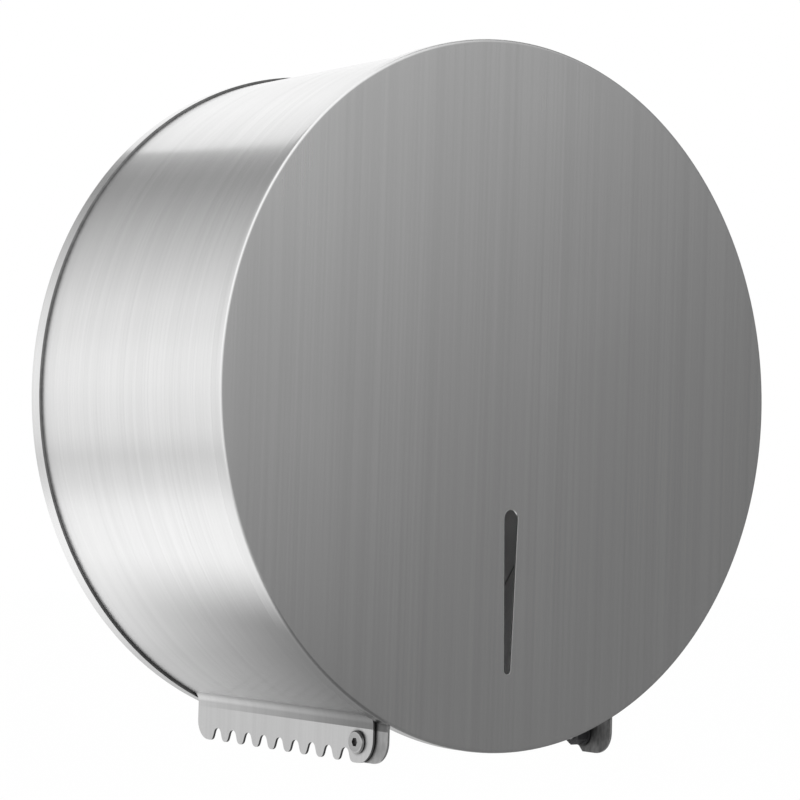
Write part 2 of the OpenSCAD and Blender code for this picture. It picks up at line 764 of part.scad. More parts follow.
// Snap-in cap over the front of the hub
module hub_cap() {
    edge = hub_cap_t / 2;
    step = 0.5;
    cap_r = hub_d / 2 - step;
    color(grey_plastic) {
        forward(hub_h + hub_len - hub_cap_spigot)
            ring(hub_inner_r, hub_inner_r - hub_wall, hub_cap_spigot);
        forward(hub_h + hub_len) {
            cylinder(r = cap_r, h = hub_cap_t - edge);
            translate([0, 0, hub_cap_t - edge]) cylinder(r1 = cap_r, r2 = cap_r - edge, h = edge);
        }
    }
}

// Double-flatted shape of the plug's lower end and of the hole in the cam
module stub_outline(gap) {
    intersection() {
        circle(r = stub_r + gap);
        square([3 * stub_r, 2 * (stub_flat + gap)], center = true);
    }
}

// Plug that the key turns, with its keyway on top
module lock_plug() {
    keyway = [1.8, 8, 3];
    color(bright_steel) translate([0, -lock_h, 0]) difference() {
        union() {
            translate([0, 0, cam_top_z])
                cylinder(r = plug_d / 2, h = barrel_top_z - plug_head_h - cam_top_z);
            translate([0, 0, barrel_top_z - plug_head_h])
                cylinder(r = plug_head_d / 2, h = plug_head_h);
            translate([0, 0, cam_z]) linear_extrude(height = cam_t) stub_outline(0);
        }
        translate([-keyway.x / 2, -keyway.y / 2, barrel_top_z - keyway.z])
            cube([keyway.x, keyway.y, keyway.z + cut]);
        translate([0, 0, cam_z - cut]) cylinder(r = cam_screw_d / 2, h = cam_screw_len + cut);
    }
}

// Cam, drawn unlocked, pointing to the front
module lock_cam() {
    cam_boss = 2;
    color(steel) translate([0, -lock_h, cam_z]) linear_extrude(height = cam_t) difference() {
        union() {
            circle(r = cam_w / 2 + cam_boss);
            translate([-cam_w / 2, -cam_len]) square([cam_w, cam_len]);
        }
        stub_outline(run_gap);
    }
}

module cam_screw() {
    head_r = 4.5;
    head_t = 1.6;
    color(bright_steel) translate([0, -lock_h, cam_z]) {
        cylinder(r = cam_screw_d / 2, h = cam_screw_len);
        translate([0, 0, -head_t]) difference() {
            cylinder(r = head_r, h = head_t);
            translate([0, 0, -cut]) hexagon_bar(socket_af, (1 - socket_floor) * head_t + cut);
        }
    }
}

back_plate();
drum_wall();
spindle_foot();
spindle_rivets();
spindle_axle();
brake_washer();
spring_washer();
end_washer();
end_screw();
lock_gasket();
lock_barrel();
lock_backing_washer();
lock_nut();
hinge_screws();
hinge_bushes();
hinge_washers();
hinge_nuts();
cover_panel();
hinge_ear_left();
hinge_ear_right();
lock_strike();
strike_pin();
cover_pads();
roll_hub();
hub_core();
hub_bushes();
hub_cap();
lock_plug();
lock_cam();
cam_screw();
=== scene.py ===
"""Looks of a round stainless dispenser for one jumbo toilet roll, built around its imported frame."""

import json
import math

import bmesh
import bpy
from mathutils import Matrix, Vector

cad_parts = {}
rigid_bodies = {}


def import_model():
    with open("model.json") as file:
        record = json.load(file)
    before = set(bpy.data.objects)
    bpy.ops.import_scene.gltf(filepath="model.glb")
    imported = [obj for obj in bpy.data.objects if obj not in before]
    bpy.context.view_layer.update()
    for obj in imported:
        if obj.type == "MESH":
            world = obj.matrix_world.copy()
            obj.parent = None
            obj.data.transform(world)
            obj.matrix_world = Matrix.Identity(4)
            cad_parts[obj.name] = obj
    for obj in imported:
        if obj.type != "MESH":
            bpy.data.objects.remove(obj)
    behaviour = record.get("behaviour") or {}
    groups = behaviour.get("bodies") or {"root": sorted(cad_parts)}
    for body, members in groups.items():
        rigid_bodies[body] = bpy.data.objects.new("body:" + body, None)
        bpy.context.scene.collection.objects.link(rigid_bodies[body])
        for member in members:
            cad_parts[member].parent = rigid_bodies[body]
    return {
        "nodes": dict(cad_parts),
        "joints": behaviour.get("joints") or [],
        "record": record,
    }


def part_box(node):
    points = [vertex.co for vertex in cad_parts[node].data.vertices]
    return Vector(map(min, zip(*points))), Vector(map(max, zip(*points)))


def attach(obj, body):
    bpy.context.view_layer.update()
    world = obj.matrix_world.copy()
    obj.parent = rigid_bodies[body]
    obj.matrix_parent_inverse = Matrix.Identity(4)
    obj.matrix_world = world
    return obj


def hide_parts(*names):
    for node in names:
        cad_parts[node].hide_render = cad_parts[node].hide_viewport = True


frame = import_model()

bl_info = {
    "name": "Jumbo Roll Dispenser",
    "version": (1, 0, 0),
    "blender": (4, 5, 0),
    "location": "3D View > Sidebar > Dispenser",
    "description": "Brushed steel drum, hinged cover, hub and lock of a jumbo toilet roll dispenser",
    "category": "Object",
}

MM = 0.001
DRUM_AXIS = Vector((0, 1, 0))
# How near a point lies to a place that it counts as being at
TOUCH = 0.01 * MM
# Width of the flat ring inside a fold, which keeps the fold's shading off the flat face
FLAT_RING = 5 * MM
# Places of a piece's finishes in its list
OUTSIDE, INSIDE, CUT, EXTRA = range(4)
# Part of a unit normal along an axis, past which a face counts as facing that way
FACING = 0.7
# Where the camera stands, and how far it is turned to the right, up and over, in degrees
CAMERA_PLACE = Vector((-631.35, -861.59, -44.86)) * MM
CAMERA_TURN = (38.219, 2.485, 1.658)

# Places that the frame gives
COVER_LOW, COVER_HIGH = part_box("cover_panel")
DRUM_LOW, DRUM_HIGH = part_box("drum_wall")
DISH_LOW, DISH_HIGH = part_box("back_plate")
EAR_LOW, EAR_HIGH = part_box("hinge_ear_left")
HINGE = Vector(next(j["pos_m"] for j in frame["joints"] if j["name"] == "cover_hinge"))
LOCK = Vector(next(j["pos_m"] for j in frame["joints"] if j["name"] == "lock_turn"))


# Properties

def length(title, text, millimetres):
    """A length property whose default is given in millimetres."""
    return bpy.props.FloatProperty(name=title, description=text, default=millimetres * MM,
                                   min=0.0, precision=5, subtype="DISTANCE", unit="LENGTH")


def share(title, text, value):
    """A property between nought and one."""
    return bpy.props.FloatProperty(name=title, description=text, default=value,
                                   min=0.0, max=1.0, subtype="FACTOR")


def colour(title, text, value):
    """A colour property."""
    return bpy.props.FloatVectorProperty(name=title, description=text, default=value, size=3,
                                         min=0.0, max=1.0, subtype="COLOR")


def count(title, text, value):
    """A whole number property."""
    return bpy.props.IntProperty(name=title, description=text, default=value, min=1)


class DispenserSizes(bpy.types.PropertyGroup):
    """Sizes of the sheet-metal work that the frame's boxes don't give."""

    sheet: length("Sheet", "Thickness of the cover's and the drum's sheet", 1.0)
    dish_sheet: length("Back sheet", "Thickness of the back plate's sheet", 1.2)
    cut_edge: length("Cut edge", "Width of the broken edge on cut sheet", 0.12)
    worn_edge: length("Worn edge", "Width of the broken edge on the cover and the back plate", 0.42)
    cover_fold: length("Cover fold", "Outside radius of the fold around the cover's face", 1.3)
    dish_fold: length("Back fold", "Outside radius of the fold around the back plate", 1.1)
    boss_radius: length("Boss radius", "Radius of the pressed boss in the back plate", 44)
    boss_height: length("Boss height", "Height of the pressed boss", 3)
    screw_pitch: length("Wall screws", "Distance between the wall screws' holes", 120)
    screw_hole: length("Screw hole", "Diameter of the wall screws' holes", 6.5)
    slot_top: length("Slot top", "Distance of the slot's upper centre below the drum's axis", 46.7)
    slot_length: length("Slot length", "Distance between the slot's two round ends", 57.1)
    slot_wide: length("Slot wide end", "Radius of the slot's upper end", 3.3)
    slot_narrow: length("Slot narrow end", "Radius of the slot's lower end", 1.55)
    mouth_width: length("Mouth width", "Width of the mouth over its two flanges", 114)
    flange_fold: length("Flange fold", "Radius of the fold between drum and flange", 4.5)
    flange_front: length("Flange front", "Distance of the flanges behind the cover's face", 8)
    flange_rear: length("Flange rear", "Height of the flanges' rear edge above the wall", 7.5)
    tooth_pitch: length("Tooth pitch", "Distance from tooth to tooth", 10.48)
    tooth_depth: length("Tooth depth", "Depth of the teeth", 5.1)
    tooth_round: length("Tooth radius", "Radius of the tips and of the gullets", 2.4)
    first_gullet: length("First gullet", "Distance of the first gullet behind the hinge", 7.7)
    gullets: count("Gullets", "Number of gullets in the tear edge", 9)
    blade_front: length("Front corner", "Radius of the tear edge's front corner", 9)
    blade_rear: length("Rear corner", "Radius of the tear edge's rear corner", 7.5)
    plain_drop: length("Plain flange", "Drop of the plain flange below its fold", 7.6)
    plain_corner: length("Plain corner", "Radius of the plain flange's lower corners", 2.8)
    flange_hole: length("Flange hole", "Radius of the hinge screws' holes in the flanges", 2.6)
    lug_radius: length("Lug radius", "Radius of the lug around the right hinge screw", 6.2)
    ear_slot: length("Ear slot", "Width of the slots that let the ears through the rim", 1.4)
    ear_bend: length("Ear bend", "Radius of the bend between an ear and its foot", 1.5)
    ear_foot: length("Ear foot", "Height of the foot of an ear", 12)
    ear_reach: length("Ear reach", "Width of the foot of an ear", 12)
    ear_round: length("Ear corner", "Radius of the ears' lower front corner", 8.5)
    ear_bevel: length("Ear bevel", "Height of the bevel at the ears' lower rear corner", 5)
    bush_radius: length("Bush hole", "Radius of the hole for the bush in an ear", 3.25)
    screw_radius: length("Hinge screw", "Radius of the hinge screws", 2.5)
    screw_length: length("Screw length", "Length of the hinge screws below their heads", 9.3)
    head_radius: length("Screw head", "Radius of the hinge screws' heads", 4.25)
    head_height: length("Head height", "Height of the hinge screws' heads", 1.6)
    head_round: length("Head rounding", "Radius of the rounding on the hinge screws' heads", 0.8)
    socket: length("Socket", "Width across flats of the screws' sockets", 3)
    socket_depth: length("Socket depth", "Depth of the screws' sockets", 1.2)
    barrel_radius: length("Barrel hole", "Radius of the lock's hole in the drum", 8.1)


class DispenserFinishes(bpy.types.PropertyGroup):
    """Colours and surface values of the finishes."""

    steel: colour("Steel", "Colour of the stainless steel", (0.785, 0.785, 0.785))
    cover_roughness: share("Cover roughness", "Roughness of the brushed cover", 0.23)
    drum_roughness: share("Drum roughness", "Roughness of the brushed drum", 0.19)
    brushing: share("Brushing", "Contrast of the brushed lines", 0.08)
    # Painted shade: how dark the ambient-occlusion mask paints narrow gaps and corners
    painted_gap_shade: share("Painted gap shade", "Darkness of narrow gaps and corners", 0.9)
    nylon: colour("Nylon", "Colour of the black nylon parts", (0.022, 0.022, 0.024))
    rubber: colour("Rubber", "Colour of the rubber parts", (0.03, 0.03, 0.03))
    plastic: colour("Plastic", "Colour of the hub's moulded plastic", (0.33, 0.34, 0.35))
    chrome: colour("Chrome", "Colour of the lock's plating", (0.8, 0.8, 0.81))


class StudioSettings(bpy.types.PropertyGroup):
    """Floor, light and camera of the studio."""

    floor_level: bpy.props.FloatProperty(name="Floor level", default=-1.3, unit="LENGTH",
                                         description="Height of the floor below the drum's axis")
    tent_radius: length("Tent radius", "Radius of the light tent around the object", 1250)
    floor: colour("Floor", "Colour of the floor", (0.95, 0.95, 0.95))
    ambient: share("Ambient", "Strength of the light from all around", 1.0)
    lamp_power: bpy.props.FloatProperty(name="Lamp power", default=3.0, min=0.0, unit="POWER",
                                        description="Power of each of the two lamps")
    focal: bpy.props.FloatProperty(name="Focal length", default=114.75, min=1.0,
                                   description="Focal length of the camera in millimetres")


# Modelling by hand

def pick(kind, test):
    """Selects the edges or faces whose middle passes the test."""
    bpy.ops.mesh.select_mode(type=kind)
    bpy.ops.mesh.select_all(action="DESELECT")
    mesh = bmesh.from_edit_mesh(bpy.context.object.data)
    for part in mesh.edges if kind == "EDGE" else mesh.faces:
        if kind == "EDGE":
            middle = (part.verts[0].co + part.verts[1].co) / 2
        else:
            middle = part.calc_center_median()
        if test(middle):
            part.select_set(True)
    mesh.select_flush_mode()
    bmesh.update_edit_mesh(bpy.context.object.data)


def add_point(point):
    """Adds one selected vertex to the mesh in edit mode."""
    bpy.ops.mesh.select_all(action="DESELECT")
    bpy.ops.mesh.primitive_plane_add(size=MM, location=point)
    bpy.ops.mesh.merge(type="CENTER")


def begin(name, point):
    """Starts a piece with one vertex and leaves it in edit mode."""
    bpy.ops.object.select_all(action="DESELECT")
    bpy.ops.mesh.primitive_plane_add(size=MM, location=point)
    piece = bpy.context.object
    piece.name = name
    piece.data.name = name
    bpy.ops.object.transform_apply(location=True, rotation=True, scale=True)
    bpy.ops.object.mode_set(mode="EDIT")
    bpy.ops.mesh.select_mode(type="VERT")
    bpy.ops.mesh.select_all(action="SELECT")
    bpy.ops.mesh.merge(type="CENTER")
    return piece


def draw(points):
    """Extrudes the selected vertex, which stands at the first point, along the others."""
    for here, there in zip(points, points[1:]):
        step = Vector(there) - Vector(here)
        bpy.ops.mesh.extrude_region_move(TRANSFORM_OT_translate={"value": step})


def close_face():
    """Closes the outline that was just drawn into a face."""
    bpy.ops.mesh.select_linked()
    bpy.ops.mesh.edge_face_add()


def face_from(points):
    """Draws a closed outline as one face in the mesh in edit mode."""
    bpy.ops.mesh.select_mode(type="VERT")
    add_point(points[0])
    draw(points)
    close_face()


def loop_from(points):
    """Draws a closed outline of edges in the mesh in edit mode."""
    face_from(points)
    bpy.ops.mesh.delete(type="ONLY_FACE")


def arc(centre, radius, start, stop, steps):
    """Points in two dimensions on an arc between two angles in degrees."""
    angles = [math.radians(start + (stop - start) * i / steps) for i in range(steps + 1)]
    return [(centre[0] + radius * math.cos(a), centre[1] + radius * math.sin(a)) for a in angles]


def turn(centre, axis, degrees, steps):
    """Spins the selection around an axis by the right-hand rule."""
    bpy.ops.mesh.spin(steps=steps, angle=-math.radians(degrees), center=centre, axis=axis)


def weld(distance=TOUCH):
    """Merges doubles of the whole mesh in edit mode."""
    bpy.ops.mesh.select_all(action="SELECT")
    bpy.ops.mesh.remove_doubles(threshold=distance)


def orient(test, direction):
    """Makes the skin's normals agree, so that the face that passes the test faces the direction."""
    bpy.ops.mesh.select_mode(type="FACE")
    bpy.ops.mesh.select_all(action="SELECT")
    bpy.ops.mesh.normals_make_consistent(inside=False)
    mesh = bmesh.from_edit_mesh(bpy.context.object.data)
    sample = next(f for f in mesh.faces if test(f.calc_center_median()))
    if sample.normal.dot(Vector(direction)) < 0:
        bpy.ops.mesh.flip_normals()


def finish_edit():
    """Leaves edit mode."""
    bpy.ops.object.mode_set(mode="OBJECT")


def add_modifier(piece, kind, **settings):
    """Adds a modifier with its settings and applies it."""
    bpy.ops.object.select_all(action="DESELECT")
    piece.select_set(True)
    bpy.context.view_layer.objects.active = piece
    bpy.ops.object.modifier_add(type=kind)
    modifier = piece.modifiers[-1]
    for key, value in settings.items():
        setattr(modifier, key, value)
    bpy.ops.object.modifier_apply(modifier=modifier.name)


def thicken(piece, thickness):
    """Gives a skin its sheet thickness, behind its faces, with a finish of its own inside and on cuts."""
    add_modifier(piece, "SOLIDIFY", thickness=thickness, offset=-1.0, use_even_offset=True,
                 material_offset=INSIDE, material_offset_rim=CUT)


def bore(piece, radius, low, high):
    """Cuts a round hole along the line between two points."""
    low, high = Vector(low), Vector(high)
    middle = (low + high) / 2
    lean = (high - low).to_track_quat("Z", "Y").to_euler()
    bpy.ops.object.select_all(action="DESELECT")
    bpy.ops.mesh.primitive_cylinder_add(vertices=48, radius=radius, depth=(high - low).length,
                                        location=middle, rotation=lean)
    cutter = bpy.context.object
    add_modifier(piece, "BOOLEAN", object=cutter, operation="DIFFERENCE", solver="EXACT")
    bpy.data.objects.remove(cutter)


def soften(piece, width, angle=35):
    """Breaks the edges sharper than an angle in degrees and shades the rest smooth."""
    add_modifier(piece, "BEVEL", width=width, segments=2, limit_method="ANGLE",
                 angle_limit=math.radians(angle))
    bpy.ops.object.shade_smooth_by_angle(angle=math.radians(angle))
    add_modifier(piece, "WEIGHTED_NORMAL", keep_sharp=True, weight=100)


def lathe(name, section, centre=(0, 0, 0), axis=DRUM_AXIS, steps=96):
    """A skin turned about an axis from a section of (radius, distance) points, left in edit mode."""
    axis, centre = Vector(axis), Vector(centre)
    aside = Vector((0, 0, 1)) if abs(axis.x) > 0.5 else Vector((1, 0, 0))
    points = [centre + aside * radius + axis * distance for radius, distance in section]
    piece = begin(name, points[0])
    draw(points)
    bpy.ops.mesh.select_all(action="SELECT")
    turn(centre, axis, 360, steps)
    weld()
    return piece


def darker(colour_value, factor):
    """A colour times a factor."""
    return tuple(factor * part for part in colour_value)


def give_finishes(piece, *names):
    """Gives a piece its finishes in order: outside, inside, cuts and one extra."""
    piece.data.materials.clear()
    for name in names:
        piece.data.materials.append(bpy.data.materials[name])


def refinish(piece, old, new, test):
    """Turns one of the piece's finishes into another where a face's middle and normal pass the test."""
    for face in piece.data.polygons:
        if face.material_index == old and test(face.center, face.normal):
            face.material_index = new


def place_on(piece, body, slot, *nodes):
    """Attaches a finished piece to the body it rides on and hides the frame nodes that it takes the place
    of.
    """
    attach(piece, body)
    if nodes:
        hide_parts(*nodes)


# Shader nodes

def feed(tree, made, inputs):
    """Gives a node its inputs, which are values or other nodes' outputs."""
    for key, value in inputs.items():
        if isinstance(value, bpy.types.NodeSocket):
            tree.links.new(value, made.inputs[key])
        else:
            made.inputs[key].default_value = value


def node(tree, kind, inputs=None, **settings):
    """Adds a shader node with its settings and inputs."""
    made = tree.nodes.new("ShaderNode" + kind)
    for key, value in settings.items():
        setattr(made, key, value)
    feed(tree, made, inputs or {})
    return made


def calc(tree, operation, first, second=0.0, third=0.0):
    """A Math node's result."""
    return node(tree, "Math", {0: first, 1: second, 2: third}, operation=operation).outputs[0]


def remap(tree, value, low, high, to_low=0.0, to_high=1.0, smooth=False):
    """A Map Range node's result, kept between its two ends."""
    made = node(tree, "MapRange", {"Value": value, "From Min": low, "From Max": high,
                                   "To Min": to_low, "To Max": to_high})
    made.interpolation_type = "SMOOTHSTEP" if smooth else "LINEAR"
    return made.outputs[0]


def noise(tree, vector, scale, detail=2.0):
    """A Noise Texture's value."""
    return node(tree, "TexNoise", {"Vector": vector, "Scale": scale, "Detail": detail}).outputs[0]


def effect(name, inputs, outputs):
    """A new node group with named inputs and outputs."""
    group = bpy.data.node_groups.new(name, "ShaderNodeTree")
    for title, kind, value in inputs:
        socket = group.interface.new_socket(title, in_out="INPUT", socket_type="NodeSocket" + kind)
        if value is not None:
            socket.default_value = value
    for title in outputs:
        group.interface.new_socket(title, in_out="OUTPUT", socket_type="NodeSocketFloat")
    return group, group.nodes.new("NodeGroupInput"), group.nodes.new("NodeGroupOutput")


def brushing_effect(name, around):
    """Brushed lines, straight or around the drum's axis.

    Density holds the number of lines per metre along each direction of the pattern, which is x, y and z
    or, around the axis, the way round the drum and the way along it.
    """
    coarseness = 0.22
    group, given, result = effect(name, [("Vector", "Vector", None), ("Density", "Vector", None),
                                         ("Contrast", "Float", 0.1)],
                                  ["Shade", "Lines", "Marks"])
    place = given.outputs["Vector"]
    if around:
        split = node(group, "SeparateXYZ", {0: place})
        angle = calc(group, "ARCTAN2", split.outputs["X"], split.outputs["Z"])
        along = calc(group, "MULTIPLY", angle, DRUM_HIGH.x)
        place = node(group, "CombineXYZ", {"X": along, "Y": split.outputs["Y"]}).outputs[0]
    fine = node(group, "VectorMath", {0: place, 1: given.outputs["Density"]}, operation="MULTIPLY")
    coarse = node(group, "VectorMath", {0: fine.outputs[0], "Scale": coarseness},
                  operation="SCALE")
    lines = noise(group, fine.outputs[0], 1.0, 3.0)
    bands = noise(group, coarse.outputs[0], 1.0, 3.0)
    # Noise keeps near its middle, so its inner part is stretched to the full swing
    both = calc(group, "MULTIPLY", calc(group, "ADD", lines, bands), 0.5)
    swing = remap(group, both, 0.38, 0.62, -0.5, 0.5)
    shade = calc(group, "MULTIPLY_ADD", swing, given.outputs["Contrast"], 1.0)
    marks = remap(group, lines, 0.68, 0.74)
    group.links.new(shade, result.inputs["Shade"])
    group.links.new(lines, result.inputs["Lines"])
    group.links.new(marks, result.inputs["Marks"])


def handling_effect():
    """Faint smudges and cloudy patches left by handling and cleaning."""
    group, given, result = effect("handling", [("Vector", "Vector", None), ("Size", "Float", 14.0)],
                                  ["Smudges", "Clouds"])
    smudges = noise(group, given.outputs["Vector"], given.outputs["Size"], 4.0)
    wide = calc(group, "MULTIPLY", given.outputs["Size"], 0.3)
    clouds = noise(group, given.outputs["Vector"], wide, 1.0)
    group.links.new(remap(group, smudges, 0.52, 0.72), result.inputs["Smudges"])
    group.links.new(remap(group, clouds, 0.3, 0.7), result.inputs["Clouds"])


def edge_wear_and_highlight_effect():
    """Mask of the edges painted brighter: partly wear polished by handling, partly a painted highlight."""
    group, given, result = effect("edge_wear_and_highlight", [("Width", "Float", 0.4 * MM)], ["Mask"])
    rounded = node(group, "Bevel", {"Radius": given.outputs["Width"]}, samples=4)
    plain = node(group, "NewGeometry")
    same = node(group, "VectorMath", {0: rounded.outputs[0], 1: plain.outputs["Normal"]},
                operation="DOT_PRODUCT")
    group.links.new(remap(group, same.outputs["Value"], 0.995, 0.9), result.inputs["Mask"])


def gap_shade_mask_effect():
    """Painted shade: mask of the narrow gaps and corners, from ambient occlusion, that darkens them where
    shade falls.
    """
    group, given, result = effect("gap_shade_mask", [("Reach", "Float", 1.2 * MM)], ["Mask"])
    open_share = node(group, "AmbientOcclusion", {"Distance": given.outputs["Reach"]}, samples=12)
    group.links.new(remap(group, open_share.outputs["AO"], 0.95, 0.45), result.inputs["Mask"])


def moulding_effect():
    """Fine grain of moulded plastic or rubber."""
    group, given, result = effect("moulding", [("Vector", "Vector", None), ("Grain", "Float", 2500.0)],
                                  ["Height", "Patches"])
    group.links.new(noise(group, given.outputs["Vector"], given.outputs["Grain"], 3.0),
                    result.inputs["Height"])
    group.links.new(noise(group, given.outputs["Vector"], 60.0, 3.0), result.inputs["Patches"])


def place_effect(tree, name, inputs):
    """Places one of the shared effects in a material."""
    made = node(tree, "Group", node_tree=bpy.data.node_groups[name])
    feed(tree, made, inputs)
    return made.outputs


def new_material(name):
    """A node material: itself, its tree, its Principled shader and the object coordinates."""
    material = bpy.data.materials.new(name)
    if material.name != name:
        raise RuntimeError("There is a material called " + name + " already")
    material.use_nodes = True
    tree = material.node_tree
    coordinates = node(tree, "TexCoord").outputs["Object"]
    return material, tree, tree.nodes["Principled BSDF"], coordinates


def tint(tree, colour_value, factor):
    """A colour times a value."""
    made = node(tree, "VectorMath", {0: colour_value, "Scale": factor}, operation="SCALE")
    return made.outputs[0]


def spread_along(tree, shader, direction):
    """Spreads the shader's gloss along a direction given in the object's own space."""
    made = node(tree, "VectorTransform", {0: direction}, vector_type="VECTOR",
                convert_from="OBJECT", convert_to="WORLD")
    tree.links.new(made.outputs[0], shader.inputs["Tangent"])


def brushed_steel(name, steel, roughness, contrast, brushing, density, spread, anisotropy=1.0,
                  painted_gap_shade=0.7, reach=1.0 * MM, wear_and_highlight=(0.35 * MM, 0.2), metallic=1.0):
    """Brushed sheet: lines along the grain, gloss spread by them, smudges, edges painted brighter as wear
    and as a painted highlight, and painted shade in gaps.

    Spread is the direction that the gloss is spread from and anisotropy how far it spreads. Painted gap
    shade is how dark gaps of the given reach are painted as shade, and wear_and_highlight is the width of
    an edge painted brighter, partly as wear and partly as a painted highlight, and how much brighter it
    is.
    """
    _, tree, shader, place = new_material(name)
    shader.inputs["Metallic"].default_value = metallic
    shader.inputs["Anisotropic"].default_value = anisotropy
    brush = place_effect(tree, brushing, {"Vector": place, "Density": density, "Contrast": contrast})
    hands = place_effect(tree, "handling", {"Vector": place, "Size": 14.0})
    edge = place_effect(tree, "edge_wear_and_highlight", {"Width": wear_and_highlight[0]})
    shade = calc(tree, "MULTIPLY", brush["Shade"], remap(tree, hands["Clouds"], 0, 1, 0.985, 1.01))
    # Edges painted brighter: partly wear, partly a painted highlight
    shade = calc(tree, "MULTIPLY_ADD", edge["Mask"], wear_and_highlight[1], shade)
    shade = calc(tree, "MULTIPLY_ADD", brush["Marks"], -0.05, shade)
    # Painted shade: gaps and corners darkened by ambient occlusion
    gap_shade = place_effect(tree, "gap_shade_mask", {"Reach": reach})
    shade = calc(tree, "MULTIPLY", shade, remap(tree, gap_shade["Mask"], 0.0, 1.0, 1.0, 1.0 - painted_gap_shade))
    tree.links.new(tint(tree, steel, shade), shader.inputs["Base Color"])
    rough = calc(tree, "MULTIPLY_ADD", hands["Smudges"], 0.02, roughness)
    rough = calc(tree, "MULTIPLY_ADD", brush["Lines"], 0.04, rough)
    tree.links.new(rough, shader.inputs["Roughness"])
    bump = node(tree, "Bump", {"Strength": 0.15, "Distance": 0.02 * MM, "Height": brush["Lines"]})
    tree.links.new(bump.outputs[0], shader.inputs["Normal"])
    spread_along(tree, shader, spread)


def polished_metal(name, metal, roughness, grain):
    """Turned or plated metal with faint marks, edges painted brighter as wear and as a painted highlight,
    and painted shade in gaps.
    """
    _, tree, shader, place = new_material(name)
    shader.inputs["Metallic"].default_value = 1.0
    hands = place_effect(tree, "handling", {"Vector": place, "Size": 90.0})
    edge = place_effect(tree, "edge_wear_and_highlight", {"Width": 0.25 * MM})
    lines = place_effect(tree, "straight_brushing",
                         {"Vector": place, "Density": grain, "Contrast": 0.06})
    # Edges painted brighter: wear and a painted highlight
    shade = calc(tree, "MULTIPLY_ADD", edge["Mask"], 0.1, lines["Shade"])
    shade = calc(tree, "MULTIPLY_ADD", hands["Clouds"], -0.06, shade)
    # Painted shade: gaps and corners darkened to a fifth by ambient occlusion
    gap_shade = place_effect(tree, "gap_shade_mask", {"Reach": 1.0 * MM})
    shade = calc(tree, "MULTIPLY", shade, remap(tree, gap_shade["Mask"], 0.0, 1.0, 1.0, 0.2))
    tree.links.new(tint(tree, metal, shade), shader.inputs["Base Color"])
    rough = calc(tree, "MULTIPLY_ADD", hands["Smudges"], 0.08, roughness)
    tree.links.new(rough, shader.inputs["Roughness"])
    bump = node(tree, "Bump", {"Strength": 0.1, "Distance": 0.02 * MM, "Height": lines["Lines"]})
    tree.links.new(bump.outputs[0], shader.inputs["Normal"])


def moulded(name, base, roughness, grain, depth):
    """Moulded plastic or rubber with a fine grain and slightly rubbed edges, painted brighter by the mask
    of edge wear and painted highlight.
    """
    _, tree, shader, place = new_material(name)
    mould = place_effect(tree, "moulding", {"Vector": place, "Grain": grain})
    hands = place_effect(tree, "handling", {"Vector": place, "Size": 60.0})
    edge = place_effect(tree, "edge_wear_and_highlight", {"Width": 0.3 * MM})
    shade = remap(tree, mould["Patches"], 0.3, 0.7, 0.9, 1.08)
    # Edges painted brighter: rubbing and a painted highlight
    shade = calc(tree, "MULTIPLY_ADD", edge["Mask"], 0.25, shade)
    tree.links.new(tint(tree, base, shade), shader.inputs["Base Color"])
    rough = calc(tree, "MULTIPLY_ADD", hands["Smudges"], -0.08, roughness)
    rough = calc(tree, "MULTIPLY_ADD", mould["Height"], 0.06, rough)
    tree.links.new(rough, shader.inputs["Roughness"])
    bump = node(tree, "Bump", {"Strength": 0.35, "Distance": depth, "Height": mould["Height"]})
    tree.links.new(bump.outputs[0], shader.inputs["Normal"])


# Operators

